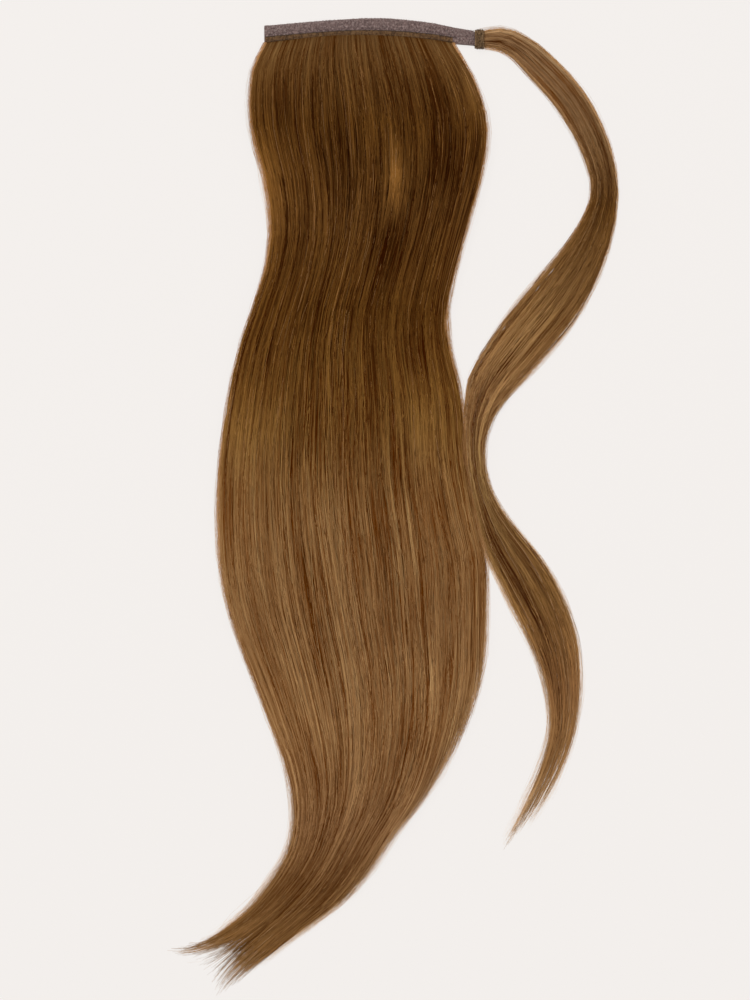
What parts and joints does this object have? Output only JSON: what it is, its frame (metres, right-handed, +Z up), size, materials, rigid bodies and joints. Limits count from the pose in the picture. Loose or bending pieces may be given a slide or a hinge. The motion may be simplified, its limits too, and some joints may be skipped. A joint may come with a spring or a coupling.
{
  "type": "wrap-around ponytail hairpiece",
  "caption": "Long straight ponytail hairpiece sewn to a strip of soft loop tape, with a separate strand that winds round the base to hide it.",
  "frame": {"origin": "middle of the whole piece in plan, on the surface that it lies on", "axes": "+Y from the tips of the hair to the tape, +X to the right seen from the face side, +Z up from the surface"},
  "size_m": [0.2495, 0.552, 0.018],
  "materials": {
    "loop_pile": "soft looped pile, mauve grey",
    "hook_nylon": "woven nylon with small hooks",
    "weft_thread": "sewn thread over hair, satin",
    "whipping_thread": "tight turns of matt thread",
    "fall_hair": "fine straight fibre, soft sheen",
    "strand_hair": "fine straight fibre, soft sheen"
  },
  "bodies": {
    "root": {"loop_tape": "loop_pile", "hook_patch": "hook_nylon", "weft_band": "weft_thread", "wrap_binding": "whipping_thread", "hair_fall": "fall_hair", "wrap_strand": "strand_hair"}
  },
  "joints": []
}
